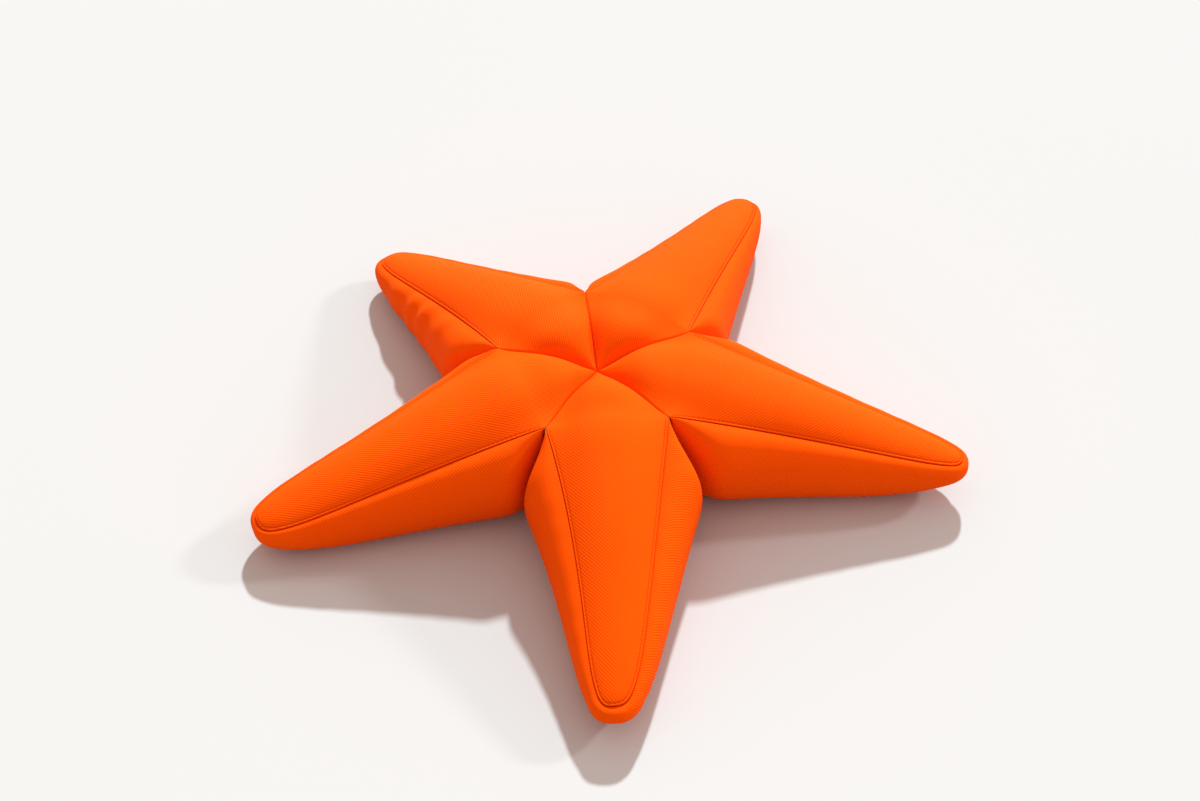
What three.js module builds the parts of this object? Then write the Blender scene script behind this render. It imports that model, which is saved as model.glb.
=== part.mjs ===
// A five-armed starfish cushion: a sewn twill cover around one soft filling.
// Each arm has a leaf-shaped top panel and one side band that runs from crotch to crotch round the
// tip. A flat star-shaped base panel closes the cover underneath.
// Millimetres, +Z up. The origin is on the floor under the hub, where the top panels meet.
import * as THREE from 'three';
import { mergeGeometries, mergeVertices } from 'three/addons/utils/BufferGeometryUtils.js';

// Driving dimensions.
const ARM_COUNT = 5;
const ARM_REACH = 310; // hub to the end of the top seam on a plain arm
const CROTCH_RADIUS = 88.5; // hub to the corner between two arms
const TIP_HALF_WIDTH = 19; // top panel just before its round end, on a plain arm
const WAIST = 4; // how far the top seam draws in halfway along an arm
const NOSE_POWER = 7.5; // a higher power makes the arm's end blunter
const HUB_HEIGHT = 81;
const CROTCH_HEIGHT = 94;
const TIP_HEIGHT = 32;
const VALLEY_HUMP = 5.5; // rise of a radial seam halfway from hub to crotch
const CROWN = { root: 0.43, tip: 0.27 }; // height of a top panel's crown over its half width
const CROWN_POWER = 2.2;
const BULGE = { root: 33, tip: 4 }; // how far a side band swells out past the top seam
const BULGE_TAPER = 0.8; // power of the change from root to tip
const BULGE_START = 0.5; // slope of the swelling at the crotch
const BULGE_CORNER = 4; // a higher power makes the slope turn into the full swell more sharply
const BULGE_FULLNESS = 0.5; // power of the band's section: 1 is a parabola, 0.5 half an ellipse
const BASE_SPREAD = 2; // how far the base seam stands out past the top seam
const BASE_SPREAD_START = 15; // distance from the crotch over which it comes to that
const BASE_EDGE = 6; // height of the base seam above the floor
const BASE_FLAT = 0.72; // share of the base's width that lies flat
const TIP_LIFT = 10; // how far the base rises under a tip
const LIFT_START = 0.6; // share of an arm's length where that rise begins
const PANEL_THICKNESS = 2.2;
const FILLING_GAP = 0.8; // between the cover and the filling
const SEAM_GAP = 0.6; // between two panels along a seam
const PANEL_POINT = 2; // the panels' points stop this far from the hub

// Each arm's direction in degrees, and how its tip differs from a plain arm's: reach along the
// arm, sway towards its left, rise, and its width and swelling as shares of a plain arm's.
const ARMS = [
  { bearing: -90, reach: 314, sway: -24, rise: 2.5, width: 1.07, swell: 1.1 },
  { bearing: -18, reach: 314.5, sway: -1, rise: 6.5, width: 0.9, swell: 1.2 },
  { bearing: 54, reach: 309, sway: 9.5, rise: 1, width: 1.02, swell: 0.65 },
  { bearing: 126, reach: 280, sway: 5, rise: -4.5, width: 1, swell: 1.1 },
  { bearing: 198, reach: 308, sway: -4, rise: 0, width: 1.3, swell: 1 },
];

// Rows and columns of the net of points that the cover is drawn on.
const HUB_ROWS = 3;
const ARM_ROWS = 10;
const CROSS_COLUMNS = 6;
const BAND_ROWS = 4;

const HALF_SECTOR = Math.PI / ARM_COUNT;
const CROTCH_X = CROTCH_RADIUS * Math.cos(HALF_SECTOR);
const CROTCH_Y = CROTCH_RADIUS * Math.sin(HALF_SECTOR);
const ARM_LENGTH = ARM_REACH - CROTCH_X;
const SHOULDER = 0.75; // share of the width left where the round end begins
const SHOULDER_Q = (1 - SHOULDER ** 2) ** (1 / NOSE_POWER);

const { lerp, clamp, smoothstep, degToRad } = THREE.MathUtils;

// Share of an arm's length, 0 at the crotch and 1 at the tip, for a distance x along the arm.
const shareAt = (x) => clamp((x - CROTCH_X) / ARM_LENGTH, 0, 1);

// Half width of the top panel at x: a straight wedge from the hub to the crotch, then a waisted
// taper whose end is rounded off.
function halfWidth(arm, x) {
  if (x <= CROTCH_X) return x * Math.tan(HALF_SECTOR);
  const q = shareAt(x);
  const taper = lerp(CROTCH_Y, TIP_HALF_WIDTH * arm.width, q) - WAIST * 4 * q * (1 - q);
  return taper * Math.sqrt(Math.max(0, 1 - q ** NOSE_POWER));
}

// Height of the seam round the top panel at x.
function seamHeight(arm, x) {
  if (x <= CROTCH_X) {
    const r = x / CROTCH_X;
    return lerp(HUB_HEIGHT, CROTCH_HEIGHT, r) + VALLEY_HUMP * 4 * r * (1 - r);
  }
  const q = shareAt(x);
  return lerp(CROTCH_HEIGHT, TIP_HEIGHT, q) + arm.rise * q;
}

// How far across the panel a point is, 0 on the arm's middle line and 1 on the seam.
const acrossAt = (arm, x, y) => Math.min(1, Math.abs(y) / Math.max(halfWidth(arm, x), 1e-6));

function topHeight(arm, x, y) {
  const crown = lerp(CROWN.root, CROWN.tip, shareAt(x)) * halfWidth(arm, x);
  return seamHeight(arm, x) + crown * (1 - acrossAt(arm, x, y) ** CROWN_POWER);
}

// The base is flat on the floor, turns up towards its seam and rises under the tip.
function baseHeight(arm, x, y) {
  const q = shareAt(x);
  const lift = (TIP_LIFT + arm.rise) * clamp((q - LIFT_START) / (1 - LIFT_START), 0, 1) ** 2;
  const edge = clamp((acrossAt(arm, x, y) - BASE_FLAT) / (1 - BASE_FLAT), 0, 1) ** 2;
  const corner = smoothstep(x, 0.85 * CROTCH_X, CROTCH_X);
  return lift + BASE_EDGE * edge * corner;
}

// A point of the arm's own drawing, x along it and y to its left, placed in the part's frame with
// the arm's reach and sway.
function placed(arm, x, y, z) {
  const q = shareAt(x);
  const along = x + (arm.reach - ARM_REACH) * q;
  const across = y + arm.sway * q ** 1.5;
  const turn = degToRad(arm.bearing);
  return new THREE.Vector3(
    along * Math.cos(turn) - across * Math.sin(turn),
    along * Math.sin(turn) + across * Math.cos(turn),
    z,
  );
}

// A point on the plane between two arms. Both arms take it from here, so that it is one point.
function creasePoint(index, side, radius, z) {
  const right = side > 0 ? index : (index + ARM_COUNT - 1) % ARM_COUNT;
  const turn = degToRad(ARMS[right].bearing) + HALF_SECTOR;
  return new THREE.Vector3(radius * Math.cos(turn), radius * Math.sin(turn), z);
}

// Where row and column of the leaf-shaped outline lie in the arm's own drawing. Rows run straight
// across at first and bow into the round end.
function leafPlan(arm, row, column) {
  const side = (2 * column) / CROSS_COLUMNS - 1;
  if (row <= HUB_ROWS) {
    const x = (CROTCH_X * row) / HUB_ROWS;
    return { x, y: side * halfWidth(arm, x), side };
  }
  const share = (row - HUB_ROWS) / ARM_ROWS;
  const q = SHOULDER_Q * share;
  const noseQ = (1 - (side * SHOULDER) ** 2) ** (1 / NOSE_POWER);
  const bow = smoothstep(share, 0.4, 1) * (noseQ - SHOULDER_Q);
  const y = side * halfWidth(arm, CROTCH_X + ARM_LENGTH * q);
  return { x: CROTCH_X + ARM_LENGTH * (q + bow), y, side };
}

// The net of a top panel or of the base under it: rows from the hub to the tip, columns from the
// arm's right to its left.
function leafNet(index, height) {
  const arm = ARMS[index];
  const net = [];
  for (let row = 0; row <= HUB_ROWS + ARM_ROWS; row += 1) {
    const line = [];
    for (let column = 0; column <= CROSS_COLUMNS; column += 1) {
      const { x, y, side } = leafPlan(arm, row, column);
      const z = height(arm, x, y);
      const onCrease = Math.abs(side) === 1 && row <= HUB_ROWS;
      const radius = x / Math.cos(HALF_SECTOR);
      line.push(onCrease ? creasePoint(index, side, radius, z) : placed(arm, x, y, z));
    }
    net.push(line);
  }
  return net;
}

// The outline of a leaf net from the right crotch round the tip to the left crotch, as the row and
// column of each point.
function outlineCells() {
  const last = HUB_ROWS + ARM_ROWS;
  const cells = [];
  for (let row = HUB_ROWS; row < last; row += 1) cells.push([row, 0]);
  for (let column = 0; column < CROSS_COLUMNS; column += 1) cells.push([last, column]);
  for (let row = last; row >= HUB_ROWS; row -= 1) cells.push([row, CROSS_COLUMNS]);
  return cells;
}

// How far the band swells out at a distance x along the arm: a straight slope from the crotch that
// turns into the full swell, which tapers off towards the tip.
function swellAt(arm, x) {
  const full = lerp(BULGE.root, BULGE.tip, shareAt(x) ** BULGE_TAPER) * arm.swell;
  const sloped = (BULGE_START * (x - CROTCH_X)) / full;
  return full * (1 - Math.exp(-(sloped ** BULGE_CORNER))) ** (1 / BULGE_CORNER);
}

// The outward direction in plan at each point of a line that runs anticlockwise.
function outwardInPlan(line) {
  const last = line.length - 1;
  return line.map((p, i) => {
    const along = line[Math.min(i + 1, last)].clone().sub(line[Math.max(i - 1, 0)]);
    return new THREE.Vector3(along.y, -along.x, 0).normalize();
  });
}

// A base net whose outline stands out past the top seam. The line at the crotches stays, and the
// columns inside it move by their share of the width.
function spreadBase(index, topNet, baseNet) {
  const arm = ARMS[index];
  const cells = outlineCells();
  const outwards = outwardInPlan(cells.map(([row, column]) => topNet[row][column]));
  const spread = baseNet.map((line) => line.map((p) => p.clone()));
  cells.forEach(([row, column], i) => {
    const { x } = leafPlan(arm, row, column);
    const share = 1 - Math.exp(-(x - CROTCH_X) / BASE_SPREAD_START);
    spread[row][column].addScaledVector(outwards[i], BASE_SPREAD * share);
  });
  return spread;
}

// The net of a side band: rows from the top seam down to the base seam. Between the seams it
// swells outwards, from nothing at each crotch.
function bandNet(index, topNet, baseNet) {
  const arm = ARMS[index];
  const cells = outlineCells();
  const top = cells.map(([row, column]) => topNet[row][column]);
  const base = cells.map(([row, column]) => baseNet[row][column]);
  const outwards = outwardInPlan(top);
  const net = [];
  for (let row = 0; row <= BAND_ROWS; row += 1) {
    const down = (1 - Math.cos((Math.PI * row) / BAND_ROWS)) / 2;
    const section = (4 * down * (1 - down)) ** BULGE_FULLNESS;
    net.push(
      cells.map(([leafRow, leafColumn], i) => {
        const { x } = leafPlan(arm, leafRow, leafColumn);
        const point = top[i].clone().lerp(base[i], down);
        const onSeam = row === 0 || row === BAND_ROWS;
        return onSeam ? point : point.addScaledVector(outwards[i], swellAt(arm, x) * section);
      }),
    );
  }
  return net;
}

// A plane's grid of vertices moved onto a net. It faces along rows x columns, or the other way
// when flipped.
function sheet(net, flipped = false) {
  const geometry = new THREE.PlaneGeometry(1, 1, net[0].length - 1, net.length - 1);
  geometry.deleteAttribute('normal');
  geometry.deleteAttribute('uv');
  net.flat().forEach((p, i) => geometry.attributes.position.setXYZ(i, p.x, p.y, p.z));
  if (flipped) geometry.index.array.reverse();
  return geometry;
}

// The cut edge between an outer and an inner border. Each cell is split along its shorter
// diagonal, as the edge of the panel across the seam is, so that twisted edges stay apart.
function edgeStrip(outerBorder, innerBorder, flipped = false) {
  const strip = sheet([outerBorder, innerBorder]);
  const cells = outerBorder.length - 1;
  const corners = [];
  for (let i = 0; i < cells; i += 1) {
    const [a, b, c, d] = [i, i + cells + 1, i + cells + 2, i + 1];
    const direct = outerBorder[i].distanceTo(innerBorder[i + 1]);
    const crossed = innerBorder[i].distanceTo(outerBorder[i + 1]);
    corners.push(...(direct < crossed ? [a, b, c, a, c, d] : [a, b, d, b, c, d]));
  }
  strip.setIndex(flipped ? corners.reverse() : corners);
  return strip;
}

// Sheets that meet edge to edge, joined into one closed body. Cells that the hub squeezes to a
// line are dropped.
function closed(sheets) {
  const body = mergeVertices(mergeGeometries(sheets), 1e-3);
  const corners = Array.from(body.index.array);
  const kept = [];
  for (let i = 0; i < corners.length; i += 3) {
    const [a, b, c] = corners.slice(i, i + 3);
    if (a !== b && b !== c && c !== a) kept.push(a, b, c);
  }
  body.setIndex(kept);
  return body;
}

const key = (p) => `${p.x.toFixed(4)},${p.y.toFixed(4)},${p.z.toFixed(4)}`;

// The outward direction at each point of the whole cover: the mean of the faces that meet there.
function outwardAtPoints(sheets) {
  const body = closed(sheets);
  body.computeVertexNormals();
  const { position, normal } = body.attributes;
  const directions = new Map();
  for (let i = 0; i < position.count; i += 1) {
    const p = new THREE.Vector3().fromBufferAttribute(position, i);
    directions.set(key(p), new THREE.Vector3().fromBufferAttribute(normal, i));
  }
  return directions;
}

const topNets = ARMS.map((arm, index) => leafNet(index, topHeight));
const baseNets = ARMS.map((arm, index) =>
  spreadBase(index, topNets[index], leafNet(index, baseHeight)),
);
const bandNets = ARMS.map((arm, index) => bandNet(index, topNets[index], baseNets[index]));
const coverSheets = [
  ...topNets.map((net) => sheet(net)),
  ...bandNets.map((net) => sheet(net)),
  ...baseNets.map((net) => sheet(net, true)),
];
const outward = outwardAtPoints(coverSheets);

// A net drawn in below the cover's outer surface.
function drawnIn(net, depth) {
  return net.map((line) =>
    line.map((p) => {
      const single = new THREE.Vector3(...new Float32Array([p.x, p.y, p.z]));
      return p.clone().addScaledVector(outward.get(key(single)), -depth);
    }),
  );
}

// A point moved back from a seam, towards the point inside it.
function movedBack(from, towards) {
  const step = towards.clone().sub(from);
  return from.clone().addScaledVector(step.normalize(), SEAM_GAP / 2);
}

// A leaf net whose first row is drawn off the hub, where it was squeezed to one point.
function blunted(net) {
  const share = (PANEL_POINT * HUB_ROWS) / CROTCH_X;
  return [net[0].map((p, column) => p.clone().lerp(net[1][column], share)), ...net.slice(1)];
}

// A net whose border keeps half the seam gap.
function trimmed(net) {
  const lastRow = net.length - 1;
  const lastColumn = net[0].length - 1;
  return net.map((line, row) =>
    line.map((p, column) => {
      const inRow = clamp(row, 1, lastRow - 1);
      const inColumn = clamp(column, 1, lastColumn - 1);
      if (inRow === row && inColumn === column) return p;
      return movedBack(p, net[inRow][inColumn]);
    }),
  );
}

// The border of a net, once round, from its first point back to it.
function border(net) {
  const lastRow = net.length - 1;
  const lastColumn = net[0].length - 1;
  const loop = net.map((line) => line[0]);
  loop.push(...net[lastRow].slice(1));
  for (let row = lastRow - 1; row >= 0; row -= 1) loop.push(net[row][lastColumn]);
  for (let column = lastColumn - 1; column >= 0; column -= 1) loop.push(net[0][column]);
  return loop;
}

// A panel of the cloth's thickness: its outer sheet, its inner sheet and the cut edge between.
function panel(net, startsAtHub) {
  const layers = [net, drawnIn(net, PANEL_THICKNESS)];
  const [outer, inner] = layers.map((layer) => trimmed(startsAtHub ? blunted(layer) : layer));
  return closed([sheet(outer), sheet(inner, true), edgeStrip(border(outer), border(inner))]);
}

// The five parts of the base net as one star-shaped panel. Only its outline is moved back, and
// the corners between arms go straight towards the hub, so that neighbours still meet.
function starPanel(nets) {
  const cells = outlineCells();
  const sheets = nets.flatMap((net) => {
    const layers = [net, drawnIn(net, PANEL_THICKNESS)].map((layer) => {
      const cut = layer.map((line) => line.map((p) => p.clone()));
      for (const [row, column] of cells) {
        const inRow = row === HUB_ROWS ? row - 1 : Math.min(row, HUB_ROWS + ARM_ROWS - 1);
        const inColumn = row === HUB_ROWS ? column : clamp(column, 1, CROSS_COLUMNS - 1);
        cut[row][column].copy(movedBack(layer[row][column], layer[inRow][inColumn]));
      }
      return cut;
    });
    const edges = layers.map((layer) => cells.map(([row, column]) => layer[row][column]));
    return [sheet(layers[0], true), sheet(layers[1]), edgeStrip(edges[0], edges[1], true)];
  });
  return closed(sheets);
}

// Closely woven orange twill, dull like any cotton cloth.
function twill() {
  return new THREE.MeshStandardMaterial({ color: 0xf56a0a, roughness: 0.88, metalness: 0 });
}

// White polyester fibre.
function fibre() {
  return new THREE.MeshStandardMaterial({ color: 0xf2f0ea, roughness: 0.95, metalness: 0 });
}

function named(name, geometry, material) {
  const mesh = new THREE.Mesh(geometry, material);
  mesh.name = name;
  return mesh;
}

const cushion = new THREE.Group();

const fillingDepth = PANEL_THICKNESS + FILLING_GAP;
const fillingSheets = [
  ...topNets.map((net) => sheet(drawnIn(net, fillingDepth))),
  ...bandNets.map((net) => sheet(drawnIn(net, fillingDepth))),
  ...baseNets.map((net) => sheet(drawnIn(net, fillingDepth), true)),
];
cushion.add(named('filling', closed(fillingSheets), fibre()));

ARMS.forEach((arm, index) => {
  cushion.add(named(`top_panel_${index + 1}`, panel(topNets[index], true), twill()));
  cushion.add(named(`side_band_${index + 1}`, panel(bandNets[index], false), twill()));
});

cushion.add(named('base_panel', starPanel(baseNets), twill()));

export default cushion;
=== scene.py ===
"""A stuffed starfish cushion in orange twill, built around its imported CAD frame.

The cover is five leaf-shaped top panels, five side bands and a base, sewn and topstitched, over a
filling of loose fibre. Everything is in metres, in the frame's own axes.
"""

import bpy
import numpy as np
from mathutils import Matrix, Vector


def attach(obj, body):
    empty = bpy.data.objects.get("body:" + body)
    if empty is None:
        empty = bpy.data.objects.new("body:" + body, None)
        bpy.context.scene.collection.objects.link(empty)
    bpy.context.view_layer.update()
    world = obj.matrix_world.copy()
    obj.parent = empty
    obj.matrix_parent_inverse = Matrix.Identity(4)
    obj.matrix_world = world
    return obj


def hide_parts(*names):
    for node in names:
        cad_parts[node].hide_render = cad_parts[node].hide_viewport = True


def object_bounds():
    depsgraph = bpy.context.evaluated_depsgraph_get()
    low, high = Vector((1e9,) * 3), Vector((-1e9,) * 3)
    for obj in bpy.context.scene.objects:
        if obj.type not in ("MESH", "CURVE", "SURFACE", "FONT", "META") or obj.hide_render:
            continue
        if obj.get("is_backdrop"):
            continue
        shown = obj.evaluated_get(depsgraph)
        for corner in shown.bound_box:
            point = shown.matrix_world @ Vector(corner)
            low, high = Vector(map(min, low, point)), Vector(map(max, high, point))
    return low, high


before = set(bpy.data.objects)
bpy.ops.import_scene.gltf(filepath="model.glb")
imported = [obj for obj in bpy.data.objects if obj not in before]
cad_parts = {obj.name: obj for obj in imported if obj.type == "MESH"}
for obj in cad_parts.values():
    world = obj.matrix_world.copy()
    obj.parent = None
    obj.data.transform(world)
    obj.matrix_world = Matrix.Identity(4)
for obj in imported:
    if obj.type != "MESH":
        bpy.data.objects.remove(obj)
cad_box = [list(corner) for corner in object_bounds()]

# Filling -------------------------------------------------------------------------------------
# One star-shaped mass of loose white polyester fibre, pushed into the sewn cover arm by arm. It
# fills the cover, so it has the stuffed shape that all the panels follow, only slightly smaller.

MM = 0.001
ARM_COUNT = 5
HALF_SECTOR = np.pi / ARM_COUNT
FIRST_BEARING = -np.pi / 2  # arm 1 lies along -Y, and the others follow anticlockwise
PLAIN_REACH = 310 * MM
TIP_HALF_WIDTH = 19 * MM
WAIST = 4 * MM
NOSE_POWER = 9
NOSE_SQUARENESS = 3.0
VALLEY_HUMP = 5.5 * MM
CROWN_ROOT = 0.44
CROWN_TIP = 0.24
CROWN_POWER = 2.3
SHOULDER = 0.75
SHOULDER_Q = (1 - SHOULDER**NOSE_SQUARENESS) ** (1 / NOSE_POWER)
ROUNDING = 20 * MM  # how far the arm's root is eased where the hub's wedge turns into the taper
CORNER_POWER = 6
EASE_START = 3  # the easing fades out between these, in crotch distances from the hub
EASE_FULL = 1.5
SEAM_ROUNDING = 0.6  # shares of ROUNDING
MIDDLE_ROUNDING = 1.3
BULGE_ROOT = 33 * MM
BULGE_TIP = 5 * MM
BULGE_TAPER = 0.8
BULGE_START = 0.92
BULGE_CORNER = 4
BULGE_FULLNESS = 0.45
BASE_EDGE = 6 * MM
BASE_FLAT = 0.72
NOSE_FLAT = 0.95
TIP_LIFT = 10 * MM
LIFT_START = 0.6
PRESSED_GAP = 0.25 * MM  # between two bands that press together beside a crotch


def node_points(name):
    """Every corner of a CAD node, one row each."""
    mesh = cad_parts[name].data
    points = np.empty(len(mesh.vertices) * 3, np.float32)
    mesh.vertices.foreach_get("co", points)
    return points.reshape(-1, 3).astype(float)


band_points = node_points("side_band_1")
CROTCH_RADIUS = np.hypot(*band_points[band_points[:, 2].argmax(), :2])
CROTCH_HEIGHT = band_points[:, 2].max()
CROTCH_X = CROTCH_RADIUS * np.cos(HALF_SECTOR)
CROTCH_Y = CROTCH_RADIUS * np.sin(HALF_SECTOR)
ARM_LENGTH = PLAIN_REACH - CROTCH_X
hub_points = node_points("top_panel_1")
hub_radii = np.hypot(hub_points[:, 0], hub_points[:, 1])
HUB_HEIGHT = hub_points[hub_radii < hub_radii.min() + MM, 2].max()


class Arm:
    """One arm: its direction, where the frame puts its tip, and its width and fullness as shares
    of the plain ones. The fullness is that of its right band, its left band and its nose."""

    def __init__(self, number, width, right_swell, left_swell, nose_swell):
        bearing = FIRST_BEARING + (number - 1) * 2 * HALF_SECTOR
        self.number = number
        self.along = np.array([np.cos(bearing), np.sin(bearing)])
        self.left = np.array([-np.sin(bearing), np.cos(bearing)])
        points = node_points(f"top_panel_{number}")
        tip = points[(points[:, :2] @ self.along).argmax()]
        self.reach = tip[:2] @ self.along
        self.sway = tip[:2] @ self.left
        self.tip_height = tip[2]
        self.width = width
        self.swells = right_swell, left_swell
        self.nose_swell = nose_swell


ARMS = [
    Arm(1, 1.07, 1.05, 1.25, 1.5),
    Arm(2, 0.9, 1.25, 0.95, 1.0),
    Arm(3, 1.02, 0.85, 0.5, 1.0),
    Arm(4, 1.0, 0.7, 1.2, 1.0),
    Arm(5, 1.3, 0.6, 1.05, 1.0),
]


def lerp(a, b, share):
    """a at share 0, b at share 1, and even steps between."""
    return a + (b - a) * share


def smooth(value, low, high):
    """0 below low, 1 above high, and an even S between."""
    t = np.clip((value - low) / (high - low), 0, 1)
    return t * t * (3 - 2 * t)


def soft_least(a, b, rounding):
    """The lesser of a and b, with the corner where they cross rounded off."""
    return (a + b - np.sqrt((a - b) ** 2 + rounding**2)) / 2


def easing_at(x):
    """How much of the rounding there is at x: none at the hub, all past the crotch, and none
    again along the arm."""
    return smooth(x, 0, CROTCH_X) * smooth(x, EASE_START * CROTCH_X, EASE_FULL * CROTCH_X)


def share_at(x):
    """x as a share of the arm's length, 0 at the crotch and 1 at the tip."""
    return np.clip((x - CROTCH_X) / ARM_LENGTH, 0, 1)


def taper_width(arm, x):
    """Half the width past the crotch: a waisted taper with a round end."""
    q = (x - CROTCH_X) / ARM_LENGTH
    taper = lerp(CROTCH_Y, TIP_HALF_WIDTH * arm.width, q) - WAIST * 4 * q * (1 - q)
    return taper * (1 - np.clip(q, 0, 1) ** NOSE_POWER) ** (1 / NOSE_SQUARENESS)


def half_width(arm, x, side):
    """Half the top panel's width at x along the arm: a straight wedge from the hub to the crotch,
    then the taper. Away from the outline the corner between the two is eased."""
    wedge = x * np.tan(HALF_SECTOR)
    taper = taper_width(arm, x)
    drawn = np.where(x < CROTCH_X, wedge, taper)
    eased = soft_least(wedge, taper, ROUNDING * easing_at(x))
    return lerp(eased, drawn, np.abs(side) ** CORNER_POWER)


def hub_seam(x):
    """The height of a plain seam: a straight rise from the hub to the crotch and a sine's hump."""
    r = x / CROTCH_X
    return lerp(HUB_HEIGHT, CROTCH_HEIGHT, r) + VALLEY_HUMP * np.sin(np.pi * np.clip(r, 0, 1)) ** 2


def arm_seam(arm, x):
    """The height of the topstitched seam: a straight fall from the crotch to the tip."""
    return lerp(CROTCH_HEIGHT, arm.tip_height, (x - CROTCH_X) / ARM_LENGTH)


def leaf_plan(arm, u, side):
    """Where u and side lie on the arm's own drawing, x along it and y to its left.

    u is -1 at the hub, 0 at the crotch and 1 at the tip, and side is -1 on the right seam and 1 on
    the left. Lines of equal u run straight across and bow into the round nose."""
    u, side = np.broadcast_arrays(u, side)
    share = np.clip(u, 0, 1)
    straight = CROTCH_X * (1 + np.minimum(u, 0)) + ARM_LENGTH * SHOULDER_Q * share
    nose = (1 - np.abs(side * SHOULDER) ** NOSE_SQUARENESS) ** (1 / NOSE_POWER) - SHOULDER_Q
    x = straight + ARM_LENGTH * nose * smooth(share, 0.4, 1)
    return x, side * half_width(arm, straight, side), side


def across_at(arm, x, y, side):
    """How far across the leaf a point is: 0 on the arm's middle line and 1 on the seam."""
    width = half_width(arm, x, side)
    return np.where(width < 1e-6, 1, np.minimum(1, np.abs(y) / np.maximum(width, 1e-6)))


def placed(arm, x, y, z):
    """Points of the arm's drawing in the cushion's frame, with the arm's reach and sway."""
    q = share_at(x)
    along = x + (arm.reach - PLAIN_REACH) * q
    across = y + arm.sway * q**1.5
    plan = along[..., None] * arm.along + across[..., None] * arm.left
    return np.concatenate([plan, z[..., None]], -1)


def top_surface(arm, u, side):
    """The stuffed top: from the seam it rises to the arm's middle line by a share of the half
    width, as 1 minus the share across to the crown power. The middle line is the lesser of the
    hub's slope and the arm's slope, with its peak rounded."""
    x, y, side = leaf_plan(arm, u, side)
    q = share_at(x)
    crown = lerp(CROWN_ROOT, CROWN_TIP, q**1.5)
    hub_side = hub_seam(x) + CROWN_ROOT * x * np.tan(HALF_SECTOR)
    arm_side = arm_seam(arm, x) + crown * taper_width(arm, x)
    rounding = ROUNDING * easing_at(x)
    middle = soft_least(hub_side, arm_side, MIDDLE_ROUNDING * rounding)
    drawn = np.where(x < CROTCH_X, hub_seam(x), arm_seam(arm, x))
    eased = soft_least(hub_seam(x), arm_seam(arm, x), SEAM_ROUNDING * rounding)
    seam = lerp(eased, drawn, np.abs(side) ** CORNER_POWER)
    across = across_at(arm, x, y, side)
    return placed(arm, x, y, lerp(middle, seam, across**CROWN_POWER))


def base_surface(arm, u, side):
    """The underside: flat, turned up towards its seam and rising under the tip."""
    x, y, side = leaf_plan(arm, u, side)
    q = share_at(x)
    rise = TIP_LIFT + arm.tip_height - 32 * MM
    lift = rise * np.clip((q - LIFT_START) / (1 - LIFT_START), 0, 1) ** 2
    edge = np.clip((across_at(arm, x, y, side) - BASE_FLAT) / (1 - BASE_FLAT), 0, 1) ** 2
    nose = np.clip((u - NOSE_FLAT) / (1 - NOSE_FLAT), 0, 1) ** 2
    edge = 1 - (1 - edge) * (1 - nose)
    corner = smooth(x, 0.85 * CROTCH_X, CROTCH_X)
    return placed(arm, x, y, lift + BASE_EDGE * edge * corner)


def swell_at(arm, x, side):
    """How far the band swells past its seams: a straight slope from the crotch that turns into the
    full swell, which tapers off towards the tip. The arm's two sides differ in fullness."""
    full = lerp(BULGE_ROOT, BULGE_TIP, share_at(x) ** BULGE_TAPER)
    full = full * lerp(*arm.swells, (side + 1) / 2) * lerp(arm.nose_swell, 1, side**2)
    sloped = BULGE_START * (x - CROTCH_X) / full
    return full * (1 - np.exp(-(sloped**BULGE_CORNER))) ** (1 / BULGE_CORNER)


def outline(rows, columns):
    """u and side along the seam from the right crotch round the tip to the left crotch. The two
    corners of the grid are left out, because the seam runs straight through them."""
    ones = np.ones(len(rows) - 1)
    u = np.concatenate([rows[:-1], np.ones(len(columns) - 2), rows[-2::-1]])
    side = np.concatenate([-ones, columns[1:-1], ones])
    return u, side


def corners_drawn_in(grid):
    """A leaf's grid whose two nose corners are moved onto the next point of its last row."""
    grid[-1, 0] = grid[-1, 1]
    grid[-1, -1] = grid[-1, -2]
    return grid


def band_surface(arm, u, side, turn):
    """The side band between the top seam and the base seam, at turn 0 and 1.

    Points go down from seam to seam as a cosine does and swell outwards as a power of its sine,
    which is close to half an ellipse. The band stays on its own side of the plane between arms."""
    x, _, _ = leaf_plan(arm, u, side)
    top = top_surface(arm, u, side)
    base = base_surface(arm, u, side)
    step = np.gradient(top[:, :2], axis=0)
    outward = np.stack([step[:, 1], -step[:, 0]], -1)
    outward /= np.linalg.norm(outward, axis=1)[:, None]
    down = ((1 - np.cos(np.pi * turn)) / 2)[:, None]
    section = np.sin(np.pi * turn)[:, None] ** (2 * BULGE_FULLNESS)
    surface = lerp(top, base, down[..., None])
    surface[..., :2] += outward * (swell_at(arm, x, side) * section)[..., None]
    return on_own_side(arm, surface)


def on_own_side(arm, points):
    """Points past the planes that part this arm from its neighbours are moved back to them."""
    for turned in (HALF_SECTOR, -HALF_SECTOR):
        line = np.cos(turned) * arm.along + np.sin(turned) * arm.left
        inward = np.sign(turned) * np.array([line[1], -line[0]])
        plan = points[..., :2]
        beyond = np.maximum(plan @ line - CROTCH_RADIUS, 0)
        short = np.minimum(PRESSED_GAP, 0.1 * beyond) - plan @ inward
        points[..., :2] += np.maximum(short, 0)[..., None] * inward
    return points


def spaced(count, length, start):
    """0 to 1 in count steps that are finest at 0 and widen as an exponential does. start is the
    length over which they stay fine."""
    rate = np.log(1 + length / start)
    steps = np.expm1(rate * np.linspace(0, 1, count + 1))
    return steps / steps[-1]


def grid_faces(shape, flipped=False):
    """Quads between neighbouring points of a grid, numbered row by row."""
    number = np.arange(shape[0] * shape[1]).reshape(shape)
    a, b, c, d = number[:-1, :-1], number[:-1, 1:], number[1:, 1:], number[1:, :-1]
    corners = [a, d, c, b] if flipped else [a, b, c, d]
    return np.stack(corners, -1).reshape(-1, 4)


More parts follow.
